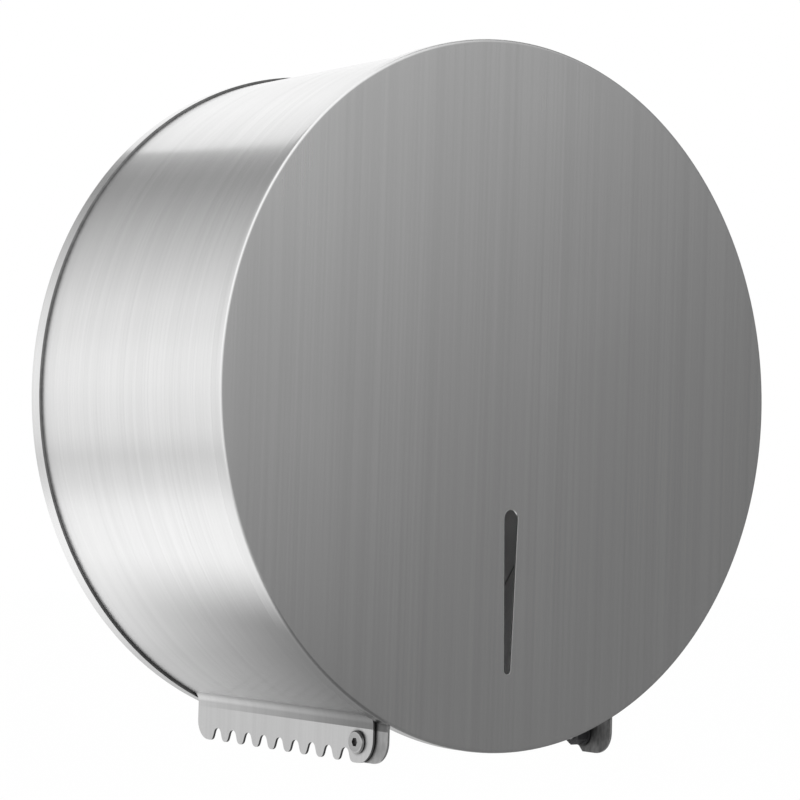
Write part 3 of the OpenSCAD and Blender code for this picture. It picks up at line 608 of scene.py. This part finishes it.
class DISPENSER_OT_finishes(bpy.types.Operator):
    """Builds the shared effects and the finishes, and gives every frame node its finish"""

    bl_idname = "dispenser.finishes"
    bl_label = "Finishes"

    def execute(self, context):
        look = context.scene.dispenser_finishes
        # The frame's plain materials have the names that the finishes are looked up by
        for plain in list(bpy.data.materials):
            plain.name = "plain_" + plain.name
        brushing_effect("straight_brushing", False)
        brushing_effect("round_brushing", True)
        handling_effect()
        edge_wear_and_highlight_effect()
        gap_shade_mask_effect()
        moulding_effect()
        steel = tuple(look.steel)
        lengthwise = (0, 1, 0)
        # The cover's and the rim's edges are painted brighter as wear and as a painted highlight line
        brushed_steel("cover_steel", steel, look.cover_roughness, 0.7 * look.brushing,
                      "straight_brushing", density=(900, 12, 4), spread=(1, 0, 0), anisotropy=0.7,
                      wear_and_highlight=(0.6 * MM, 0.4))
        brushed_steel("rim_steel", darker(steel, 0.94), look.drum_roughness, look.brushing,
                      "round_brushing", density=(14, 1100, 0), spread=lengthwise,
                      wear_and_highlight=(0.6 * MM, 0.35))
        # The drum's narrow painted gap shade gives the dark seam line along the back plate's rim
        brushed_steel("drum_steel", steel, look.drum_roughness, look.brushing,
                      "round_brushing", density=(14, 900, 0), spread=lengthwise,
                      painted_gap_shade=look.painted_gap_shade, reach=0.2 * MM)
        brushed_steel("dish_steel", steel, look.drum_roughness, look.brushing,
                      "round_brushing", density=(14, 900, 0), spread=lengthwise)
        # The flange's wide painted gap shade gives a dark ring around the hinge screws' heads
        brushed_steel("flange_steel", darker(steel, 0.75), 0.28, 0.08,
                      "straight_brushing", density=(60, 900, 20), spread=lengthwise, anisotropy=0.6,
                      reach=1.5 * MM)
        brushed_steel("plate_steel", steel, 0.34, 0.10,
                      "straight_brushing", density=(60, 60, 900), spread=(0, 0, 1), anisotropy=0.6)
        brushed_steel("ear_steel", darker(steel, 0.47), 0.35, 0.3,
                      "straight_brushing", density=(60, 700, 300), spread=(0, 1, 0.1), anisotropy=0.4,
                      reach=1.5 * MM)
        # Shaded steel is the same steel painted dark as shade, for the ears' inner faces
        brushed_steel("shaded_steel", darker(steel, 0.18), 0.45, 0.7,
                      "straight_brushing", density=(60, 700, 300), spread=(0, 1, 0.1), anisotropy=0.2)
        brushed_steel("mill_steel", darker(steel, 0.85), 0.5, 0.08,
                      "straight_brushing", density=(40, 700, 40), spread=lengthwise, anisotropy=0.0,
                      metallic=0.55)
        # The dark cut finish is cut steel painted dark as shade, for cut edges, the screws' sockets and
        # the heads' shaded sides
        for name, tone, roughness, contrast in (("cut_steel", 0.9, 0.2, 0.15),
                                                ("dark_cut", 0.3, 0.3, 0.3)):
            brushed_steel(name, darker(steel, tone), roughness, contrast,
                          "straight_brushing", density=(900, 900, 900), spread=(1, 0, 0),
                          anisotropy=0.0, painted_gap_shade=0.5)
        polished_metal("screw_steel", darker(steel, 0.55), 0.18, (700, 700, 700))
        polished_metal("turned_steel", darker(steel, 0.92), 0.22, (900, 900, 900))
        polished_metal("lock_chrome", tuple(look.chrome), 0.1, (400, 400, 400))
        moulded("black_nylon", tuple(look.nylon), 0.45, 3000, 0.03 * MM)
        moulded("rubber", tuple(look.rubber), 0.75, 2200, 0.06 * MM)
        moulded("hub_plastic", tuple(look.plastic), 0.42, 2600, 0.04 * MM)
        slots = {row["node"]: row["material_slot"] for row in frame["record"]["subparts"]}
        for name, piece in frame["nodes"].items():
            give_finishes(piece, slots[name])
        return {"FINISHED"}


class DISPENSER_OT_cover(bpy.types.Operator):
    """Builds the front cover: a pan with a round fold, the viewing slot and two slots for the ears"""

    bl_idname = "dispenser.cover"
    bl_label = "Front cover"

    def execute(self, context):
        size = context.scene.dispenser_sizes
        radius, front, rear = COVER_HIGH.x, COVER_LOW.y, COVER_HIGH.y
        fold = size.cover_fold
        section = [(radius - fold - FLAT_RING, front)]
        section += arc((radius - fold, front + fold), fold, -90, 0, 8)
        section += [(radius, rear)]
        piece = lathe("front_cover", section, steps=240)
        self.viewing_slot(size, radius - fold - 0.9 * FLAT_RING, front)
        self.ear_slots(size, radius, front)
        orient(lambda middle: abs(middle.y - front) < TOUCH, (0, -1, 0))
        finish_edit()
        give_finishes(piece, "cover_steel", "mill_steel", "cut_steel", "rim_steel")
        thicken(piece, size.sheet)
        soften(piece, size.worn_edge)
        refinish(piece, OUTSIDE, EXTRA, lambda middle, normal: normal.y > -FACING)
        place_on(piece, "cover", "cover_steel", "cover_panel")
        return {"FINISHED"}

    def viewing_slot(self, size, reach, front):
        """Draws the slot and fills the face between it and the ring that lies beyond the reach."""
        lean = math.degrees(math.asin((size.slot_wide - size.slot_narrow) / size.slot_length))
        low = (0, -size.slot_top - size.slot_length)
        outline = arc((0, -size.slot_top), size.slot_wide, -lean, 180 + lean, 16)
        outline += arc(low, size.slot_narrow, 180 + lean, 360 - lean, 12)
        loop_from([(x, front, z) for x, z in outline])
        pick("EDGE", lambda middle: abs(middle.y - front) < TOUCH
             and math.hypot(middle.x, middle.z) < reach)
        bpy.ops.mesh.fill(use_beauty=True)

    def ear_slots(self, size, radius, front):
        """Opens the rim above its fold where the ears come through."""
        near_face = front + 0.05 * MM
        fold_end = front + size.cover_fold
        sill = fold_end + 0.3 * MM
        half = size.ear_slot / 2
        centres = [side * (abs(EAR_LOW.x) - size.sheet / 2) for side in (-1, 1)]
        for centre in centres:
            for edge in (centre - half, centre + half):
                pick("FACE", lambda middle: middle.z < 0 and middle.x * centre > 0
                     and middle.y > near_face)
                bpy.ops.mesh.bisect(plane_co=(edge, 0, 0), plane_no=(1, 0, 0))
        pick("FACE", lambda middle: middle.z < -radius / 2 and middle.y > fold_end)
        bpy.ops.mesh.bisect(plane_co=(0, sill, 0), plane_no=(0, 1, 0))
        for centre in centres:
            pick("FACE", lambda middle: middle.z < 0 and middle.y > sill
                 and abs(middle.x - centre) < half)
            bpy.ops.mesh.delete(type="FACE")


class DISPENSER_OT_drum(bpy.types.Operator):
    """Builds the drum: one bent sheet with a toothed and a plain flange at the mouth"""

    bl_idname = "dispenser.drum"
    bl_label = "Drum with tear edge"

    def execute(self, context):
        size = context.scene.dispenser_sizes
        radius, front, rear = DRUM_HIGH.x, DRUM_LOW.y, DRUM_HIGH.y
        flange = size.mouth_width / 2
        fold_x = flange + size.flange_fold
        fold_z = -math.sqrt((radius + size.flange_fold) ** 2 - fold_x ** 2)
        mouth = math.degrees(math.asin(fold_x / (radius + size.flange_fold)))
        flange_front = COVER_LOW.y + size.flange_front
        flange_rear = -size.flange_rear
        end_x, end_z = radius * math.sin(math.radians(mouth)), radius * math.cos(math.radians(mouth))
        piece = begin("drum_shell", (-end_x, front, -end_z))
        draw([(-end_x, y, -end_z) for y in (front, flange_front, flange_rear, rear)])
        bpy.ops.mesh.select_all(action="SELECT")
        turn((0, 0, 0), DRUM_AXIS, 360 - 2 * mouth, 206)
        weld()
        for side in (-1, 1):
            pick("EDGE", lambda middle: (middle - Vector((side * end_x, middle.y, -end_z))).length < TOUCH
                 and flange_front < middle.y < flange_rear)
            turn((side * fold_x, 0, fold_z), DRUM_AXIS, -side * (90 - mouth), 8)
        strip = (flange_front, flange_rear, fold_z)
        face_from([(-flange, y, z) for y, z in self.toothed_outline(size, *strip)])
        face_from([(flange, y, z) for y, z in self.plain_outline(size, *strip)])
        weld(2 * TOUCH)
        orient(lambda middle: middle.z > 0.9 * radius, (0, 0, 1))
        finish_edit()
        give_finishes(piece, "drum_steel", "mill_steel", "dark_cut", "flange_steel")
        thicken(piece, size.sheet)
        bore(piece, size.barrel_radius, (0, LOCK.y, 0.8 * radius), (0, LOCK.y, 1.1 * radius))
        for side in (-1, 1):
            bore(piece, size.flange_hole, (side * flange * 0.9, HINGE.y, HINGE.z),
                 (side * flange * 1.1, HINGE.y, HINGE.z))
        soften(piece, size.cut_edge)
        refinish(piece, OUTSIDE, EXTRA, lambda middle, normal: middle.z < -end_z)
        place_on(piece, "base", "drum_steel", "drum_wall")
        return {"FINISHED"}

    def toothed_outline(self, size, front, rear, top):
        """The tear edge: round tips between round gullets, joined by straight flanks."""
        blade = DRUM_LOW.z
        tip_z = blade + size.tooth_round
        gullet_z = blade + size.tooth_depth - size.tooth_round
        half = size.tooth_pitch / 2
        rise = gullet_z - tip_z
        lean = math.degrees(math.acos(2 * size.tooth_round / math.hypot(half, rise))
                            - math.atan2(rise, half))
        gullet_y = HINGE.y + size.first_gullet
        outline = [(front, top)]
        outline += arc((front + size.blade_front, blade + size.blade_front),
                       size.blade_front, 180, 270, 12)
        for i in range(size.gullets + 1):
            tip_y = gullet_y - half + i * size.tooth_pitch
            start = 270 if i == 0 else 180 + lean
            stop = 270 if i == size.gullets else 360 - lean
            steps = 8 if start < 270 < stop else 4
            outline += arc((tip_y, tip_z), size.tooth_round, start, stop, steps)
            if i < size.gullets:
                outline += arc((tip_y + half, gullet_z), size.tooth_round, 180 - lean, lean, 8)
        outline += arc((rear - size.blade_rear, blade + size.blade_rear), size.blade_rear, 270, 360, 10)
        return outline + [(rear, top)]

    def plain_outline(self, size, front, rear, top):
        """The plain flange: a strip with round corners and a lug around the hinge screw."""
        bottom = top - size.plain_drop
        corner = size.plain_corner
        reach = math.degrees(math.asin((HINGE.z - bottom) / size.lug_radius))
        outline = [(front, top)]
        outline += arc((front + corner, bottom + corner), corner, 180, 270, 5)
        outline += arc((HINGE.y, HINGE.z), size.lug_radius, 180 + reach, 360 - reach, 20)
        outline += arc((rear - corner, bottom + corner), corner, 270, 360, 5)
        return outline + [(rear, top)]


class DISPENSER_OT_back(bpy.types.Operator):
    """Builds the dished back plate with its rim, pressed boss and screw holes"""

    bl_idname = "dispenser.back"
    bl_label = "Back plate"

    def execute(self, context):
        size = context.scene.dispenser_sizes
        radius, front = DISH_HIGH.x, DISH_LOW.y
        fold = size.dish_fold
        boss_ring = 4 * MM
        section = [(radius, front)]
        section += arc((radius - fold, -fold), fold, 0, 90, 6)
        slope_top = size.boss_radius - size.boss_height
        section += [(radius - fold - FLAT_RING, 0), (size.boss_radius + boss_ring, 0),
                    (size.boss_radius, 0), (slope_top, -size.boss_height),
                    (slope_top - boss_ring, -size.boss_height), (0, -size.boss_height)]
        piece = lathe("back_dish", section, steps=240)
        orient(lambda middle: middle.y > -TOUCH, (0, 1, 0))
        finish_edit()
        give_finishes(piece, "dish_steel", "mill_steel", "dark_cut", "plate_steel")
        thicken(piece, size.dish_sheet)
        half = size.screw_pitch / 2
        inside, outside = -5 * MM, 3 * MM
        for x in (-half, half):
            for z in (-half, half):
                bore(piece, size.screw_hole / 2, (x, inside, z), (x, outside, z))
        soften(piece, size.worn_edge)
        refinish(piece, OUTSIDE, EXTRA, lambda middle, normal: normal.y > FACING)
        place_on(piece, "base", "plate_steel", "back_plate")
        return {"FINISHED"}


class DISPENSER_OT_ears(bpy.types.Operator):
    """Builds the two ears that the cover hangs on: bent plates with a round hole for the bush"""

    bl_idname = "dispenser.ears"
    bl_label = "Hinge ears"

    def execute(self, context):
        size = context.scene.dispenser_sizes
        for side, name in ((-1, "ear_left"), (1, "ear_right")):
            self.ear(size, side, name)
        return {"FINISHED"}

    def ear(self, size, side, name):
        """Draws an ear's outline and hole, and bends its foot along the cover."""
        outer = side * abs(EAR_LOW.x)
        front, rear, bottom, top = EAR_LOW.y, EAR_HIGH.y, EAR_LOW.z, EAR_HIGH.z
        bend, foot = size.ear_bend, size.ear_foot
        inset = front + bend
        outline = [(inset, top), (inset, top - foot), (inset, top - foot - bend / 2),
                   (front, top - foot - bend / 2)]
        outline += arc((front + size.ear_round, bottom + size.ear_round), size.ear_round, 180, 270, 12)
        outline += [(rear - size.ear_bevel, bottom), (rear, bottom + size.ear_bevel),
                    (rear, HINGE.z + rear - HINGE.y), (front + size.ear_round, top)]
        piece = begin(name, (outer, *outline[0]))
        draw([(outer, y, z) for y, z in outline])
        close_face()
        bpy.ops.mesh.delete(type="ONLY_FACE")
        hole = arc((HINGE.y, HINGE.z), size.bush_radius, 0, 360, 48)
        loop_from([(outer, y, z) for y, z in hole[:-1]])
        bpy.ops.mesh.select_all(action="SELECT")
        bpy.ops.mesh.fill(use_beauty=True)
        pick("EDGE", lambda middle: abs(middle.y - inset) < TOUCH and middle.z > top - foot)
        turn((outer - side * bend, inset, 0), (0, 0, 1), -side * 90, 6)
        pick("EDGE", lambda middle: abs(middle.y - front) < TOUCH
             and abs(middle.x - outer + side * bend) < TOUCH)
        bpy.ops.mesh.extrude_region_move(
            TRANSFORM_OT_translate={"value": (-side * (size.ear_reach - bend), 0, 0)})
        weld()
        orient(lambda middle: abs(middle.x - outer) < TOUCH, (side, 0, 0))
        finish_edit()
        # The plate's inner face takes the steel painted dark as shade
        give_finishes(piece, "ear_steel", "shaded_steel", "cut_steel", "mill_steel")
        thicken(piece, size.sheet)
        soften(piece, size.cut_edge)
        refinish(piece, INSIDE, EXTRA, lambda middle, normal: abs(normal.x) < 0.9)
        place_on(piece, "cover", "plate_steel", "hinge_" + name)


class DISPENSER_OT_hinge_screws(bpy.types.Operator):
    """Builds the two low screws of the hinge, with round edges and hexagonal sockets"""

    bl_idname = "dispenser.hinge_screws"
    bl_label = "Hinge screws"

    def execute(self, context):
        size = context.scene.dispenser_sizes
        seat = -size.mouth_width / 2
        top = seat - size.head_height
        head, shank, tip = size.head_radius, size.screw_radius, size.screw_length
        flat = head - size.head_round
        mouth = size.socket / math.sqrt(3)
        chamfer, bevel = 0.4 * MM, 0.25 * MM
        undercut = (head - 0.2 * MM, -0.12 * MM)
        section = [(0, tip), (0.85 * shank, tip), (shank, tip - chamfer), (shank, 0),
                   (head - bevel, 0), undercut, (head, -bevel)]
        section += [(r, -h) for r, h in arc((flat, size.head_height - size.head_round),
                                            size.head_round, 0, 90, 6)]
        piece = lathe("hinge_screw_left", section, (seat, HINGE.y, HINGE.z), (1, 0, 0), 48)

        def within(middle, radius):
            """Whether a middle lies inside a circle around the screw's axis."""
            return math.hypot(middle.y - HINGE.y, middle.z - HINGE.z) < 1.01 * radius

        bpy.ops.mesh.select_all(action="DESELECT")
        bpy.ops.mesh.primitive_circle_add(vertices=6, radius=mouth, rotation=(0, math.radians(90), 0),
                                          location=(top, HINGE.y, HINGE.z))
        bpy.ops.mesh.subdivide(number_cuts=7)
        pick("EDGE", lambda middle: abs(middle.x - top) < TOUCH and within(middle, flat))
        bpy.ops.mesh.bridge_edge_loops()
        pick("EDGE", lambda middle: abs(middle.x - top) < TOUCH and within(middle, mouth))
        bpy.ops.mesh.extrude_region_move(
            TRANSFORM_OT_translate={"value": (size.socket_depth, 0, 0)})
        bpy.ops.mesh.edge_face_add()
        weld()
        orient(lambda middle: middle.x > seat + tip - TOUCH, (1, 0, 0))
        finish_edit()
        soften(piece, 0.08 * MM, angle=40)
        give_finishes(piece, "screw_steel", "dark_cut")
        # The socket and the head's side next to the flange take the cut finish painted dark as shade
        in_socket, at_flange = top + 0.2 * MM, seat - 0.3 * MM
        refinish(piece, 0, 1, lambda middle, normal: middle.x > at_flange
                 or middle.x > in_socket and within(middle, mouth))
        bpy.ops.object.duplicate()
        twin = bpy.context.object
        twin.name = "hinge_screw_right"
        bpy.ops.transform.rotate(value=math.pi, orient_axis="Z", center_override=(0, HINGE.y, 0))
        bpy.ops.object.transform_apply(location=True, rotation=True, scale=True)
        for screw in (piece, twin):
            place_on(screw, "base", "turned_steel", "hinge_screws")
        return {"FINISHED"}


class DISPENSER_OT_studio(bpy.types.Operator):
    """Sets up the floor, the light tent, two lamps, the white surroundings and the camera"""

    bl_idname = "dispenser.studio"
    bl_label = "Studio"

    def execute(self, context):
        studio = context.scene.dispenser_studio
        context.scene.view_settings.view_transform = "Standard"
        self.surroundings(context, studio)
        self.floor(studio)
        self.tent(studio)
        self.flag()
        self.lamps(studio)
        self.camera(context, studio)
        return {"FINISHED"}

    def reflected_only(self, piece):
        """Keeps a piece of the stage out of sight of all but reflections."""
        for kind in ("camera", "diffuse", "shadow", "transmission"):
            setattr(piece, "visible_" + kind, False)

    def seen_directly(self, tree):
        """One for camera, glossy and transmission rays, and nought for the others."""
        path = node(tree, "LightPath")
        seen = calc(tree, "MAXIMUM", path.outputs["Is Camera Ray"], path.outputs["Is Glossy Ray"])
        return calc(tree, "MAXIMUM", seen, path.outputs["Is Transmission Ray"])

    def surroundings(self, context, studio):
        """White all around, whose light on the object has a strength of its own."""
        world = bpy.data.worlds.new("surroundings")
        context.scene.world = world
        world.use_nodes = True
        tree = world.node_tree
        strength = remap(tree, self.seen_directly(tree), 0.0, 1.0, studio.ambient, 1.0)
        tree.links.new(strength, tree.nodes["Background"].inputs["Strength"])
        tree.nodes["Background"].inputs["Color"].default_value = (1, 1, 1, 1)

    def floor(self, studio):
        """A pale floor far below, which is nearly white where it is seen itself."""
        bpy.ops.object.select_all(action="DESELECT")
        bpy.ops.mesh.primitive_plane_add(size=60, location=(0, 0, studio.floor_level))
        floor = bpy.context.object
        floor.name = "floor"
        material, tree, shader, _ = new_material("floor")
        shader.inputs["Base Color"].default_value = (*studio.floor, 1)
        shader.inputs["Roughness"].default_value = 0.9
        glow_share = 0.92
        glow = node(tree, "Emission", {"Color": (1, 1, 1, 1), "Strength": 1.0})
        factor = calc(tree, "MULTIPLY", self.seen_directly(tree), glow_share)
        mix = node(tree, "MixShader", {0: factor, 1: shader.outputs[0], 2: glow.outputs[0]})
        tree.links.new(mix.outputs[0], tree.nodes["Material Output"].inputs["Surface"])
        floor.data.materials.append(material)

    def tent(self, studio):
        """A light tent that only reflections see: pale cloth with grey bands and a panel in front."""
        bpy.ops.object.select_all(action="DESELECT")
        bpy.ops.mesh.primitive_uv_sphere_add(segments=48, ring_count=24, radius=studio.tent_radius)
        tent = bpy.context.object
        tent.name = "light_tent"
        material, tree, shader, place = new_material("light_tent")
        tree.nodes.remove(shader)
        ray = node(tree, "VectorMath", {0: place}, operation="NORMALIZE").outputs[0]
        split = node(tree, "SeparateXYZ", {0: ray})
        x, y, z = (split.outputs[axis] for axis in "XYZ")
        # Around the line of sight, a direction's angle is the slope of the drum's wall that mirrors it
        sight_x, sight_z = 0.664, 0.047
        height = calc(tree, "SUBTRACT", z, sight_z)
        width = calc(tree, "SUBTRACT", sight_x, x)
        rise = calc(tree, "MULTIPLY", calc(tree, "ARCTAN2", height, width), 1 / math.pi)
        ramp = node(tree, "ValToRGB", {0: calc(tree, "ADD", rise, 0.5)})
        self.fill_ramp(ramp.color_ramp)
        # In front of the cover a slanted panel falls from pale to dark, between two soft edges
        left_edge, right_edge = (-1.1, -0.6), (2.4, 1.7)
        panel_middle, slant = 0.66, -0.93
        dark, pale = (0.03, 0.146), (1.45, 0.98)
        side = calc(tree, "ARCTAN2", x, calc(tree, "MULTIPLY", y, -1.0))
        front = calc(tree, "MULTIPLY", remap(tree, side, *left_edge, smooth=True),
                     remap(tree, side, *right_edge, smooth=True))
        fall = calc(tree, "MULTIPLY_ADD", calc(tree, "SUBTRACT", side, panel_middle), slant, z)
        grey = remap(tree, fall, dark[0], pale[0], dark[1], pale[1])
        step = calc(tree, "SUBTRACT", grey, ramp.outputs["Color"])
        shade = calc(tree, "MULTIPLY_ADD", front, step, ramp.outputs["Color"])
        glow = node(tree, "Emission", {"Color": shade, "Strength": 1.3})
        tree.links.new(glow.outputs[0], tree.nodes["Material Output"].inputs["Surface"])
        material.cycles.emission_sampling = "NONE"
        tent.data.materials.append(material)
        self.reflected_only(tent)

    def flag(self):
        """A dark flag bent round the lower left of the drum, which only reflections see."""
        radius, rear, front = 137.5 * MM, 30 * MM, -300 * MM
        start, stop = math.radians(-29), math.radians(-66)
        fade_angle, fade_front, densest = 0.25, -0.11, 0.7
        end_x, end_z = -radius * math.cos(start), radius * math.sin(start)
        piece = begin("flag", (end_x, rear, end_z))
        draw([(end_x, y, end_z) for y in (rear, front)])
        bpy.ops.mesh.select_all(action="SELECT")
        turn((0, 0, 0), DRUM_AXIS, math.degrees(stop - start), 24)
        finish_edit()
        material, tree, shader, place = new_material("flag")
        tree.nodes.remove(shader)
        split = node(tree, "SeparateXYZ", {0: place})
        sink = calc(tree, "MULTIPLY", split.outputs["Z"], -1.0)
        left = calc(tree, "MULTIPLY", split.outputs["X"], -1.0)
        angle = calc(tree, "ARCTAN2", sink, left)
        # It grows denser towards the front and down from its upper edge
        forward = remap(tree, split.outputs["Y"], 0.0, fade_front, 0.0, densest)
        downward = remap(tree, angle, -start, -start + fade_angle, smooth=True)
        density = calc(tree, "MULTIPLY", forward, downward)
        dark = node(tree, "Emission", {"Color": (0.1, 0.1, 0.1, 1), "Strength": 1.0})
        clear = node(tree, "BsdfTransparent")
        mix = node(tree, "MixShader", {0: density, 1: clear.outputs[0], 2: dark.outputs[0]})
        tree.links.new(mix.outputs[0], tree.nodes["Material Output"].inputs["Surface"])
        material.cycles.emission_sampling = "NONE"
        piece.data.materials.append(material)
        self.reflected_only(piece)

    def fill_ramp(self, ramp):
        """Greys of the tent by the slope of the wall that mirrors them, in degrees from below to above."""
        stops = [(-90, 0.45), (-60, 0.52), (-48, 0.60), (-44, 0.68), (-40, 0.74), (-36, 0.80),
                 (-28, 0.89), (-23, 0.88), (-20, 0.84), (-16, 0.69), (-12, 0.61), (-8, 0.72),
                 (0, 0.80), (4, 0.80), (8, 0.75), (12, 0.71), (20, 0.54), (28, 0.38), (32, 0.31),
                 (35, 0.29), (38, 0.34), (40, 0.43), (41, 0.50), (41.4, 0.78), (44, 0.83),
                 (47, 0.87), (52, 0.91), (60, 0.895), (90, 0.885)]
        while len(ramp.elements) > 1:
            ramp.elements.remove(ramp.elements[-1])
        for i, (angle, grey) in enumerate(stops):
            where = angle / 180 + 0.5
            stop = ramp.elements[0] if i == 0 else ramp.elements.new(where)
            stop.position = where
            stop.color = (grey, grey, grey, 1)

    def lamps(self, studio):
        """Two weak soft lamps, aimed at the object and not seen themselves."""
        for name, place in (("lamp_left", (-1.1, -0.9, 1.0)), ("lamp_right", (1.0, -0.6, 1.2))):
            data = bpy.data.lights.new(name, "AREA")
            data.energy = studio.lamp_power
            data.size = 0.9
            lamp = bpy.data.objects.new(name, data)
            bpy.context.scene.collection.objects.link(lamp)
            lamp.location = place
            lamp.rotation_euler = (-Vector(place)).to_track_quat("-Z", "Y").to_euler()
            lamp.visible_camera = False
            lamp.visible_glossy = False

    def camera(self, context, studio):
        """The camera, turned to the right, then up, then over."""
        data = bpy.data.cameras.new("camera")
        data.lens = studio.focal
        data.sensor_width = 36
        data.clip_start = 0.05
        camera = bpy.data.objects.new("camera", data)
        context.scene.collection.objects.link(camera)
        yaw, pitch, roll = (math.radians(angle) for angle in CAMERA_TURN)
        forward = Vector((math.sin(yaw) * math.cos(pitch), math.cos(yaw) * math.cos(pitch),
                          math.sin(pitch)))
        right = Vector((math.cos(yaw), -math.sin(yaw), 0))
        up = right.cross(forward)
        x_axis = math.cos(roll) * right + math.sin(roll) * up
        y_axis = -math.sin(roll) * right + math.cos(roll) * up
        placing = Matrix((x_axis, y_axis, -forward)).transposed().to_4x4()
        placing.translation = CAMERA_PLACE
        camera.matrix_world = placing
        context.scene.camera = camera


class DISPENSER_PT_panel(bpy.types.Panel):
    """Lists the dispenser's pieces"""

    bl_idname = "DISPENSER_PT_panel"
    bl_label = "Jumbo Roll Dispenser"
    bl_space_type = "VIEW_3D"
    bl_region_type = "UI"
    bl_category = "Dispenser"

    def draw(self, context):
        for operator in OPERATORS:
            self.layout.operator(operator.bl_idname)


OPERATORS = (
    DISPENSER_OT_finishes,
    DISPENSER_OT_cover,
    DISPENSER_OT_drum,
    DISPENSER_OT_back,
    DISPENSER_OT_ears,
    DISPENSER_OT_hinge_screws,
    DISPENSER_OT_studio,
)
GROUPS = {
    "dispenser_sizes": DispenserSizes,
    "dispenser_finishes": DispenserFinishes,
    "dispenser_studio": StudioSettings,
}


def register():
    for name, group in GROUPS.items():
        bpy.utils.register_class(group)
        setattr(bpy.types.Scene, name, bpy.props.PointerProperty(type=group))
    for kind in (*OPERATORS, DISPENSER_PT_panel):
        bpy.utils.register_class(kind)


def unregister():
    for kind in (DISPENSER_PT_panel, *reversed(OPERATORS)):
        bpy.utils.unregister_class(kind)
    for name, group in GROUPS.items():
        delattr(bpy.types.Scene, name)
        bpy.utils.unregister_class(group)


def main():
    """Builds every piece and the stage."""
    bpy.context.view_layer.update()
    register()
    for operator in OPERATORS:
        family, name = operator.bl_idname.split(".")
        getattr(getattr(bpy.ops, family), name)()


if __name__ == "__main__":
    main()
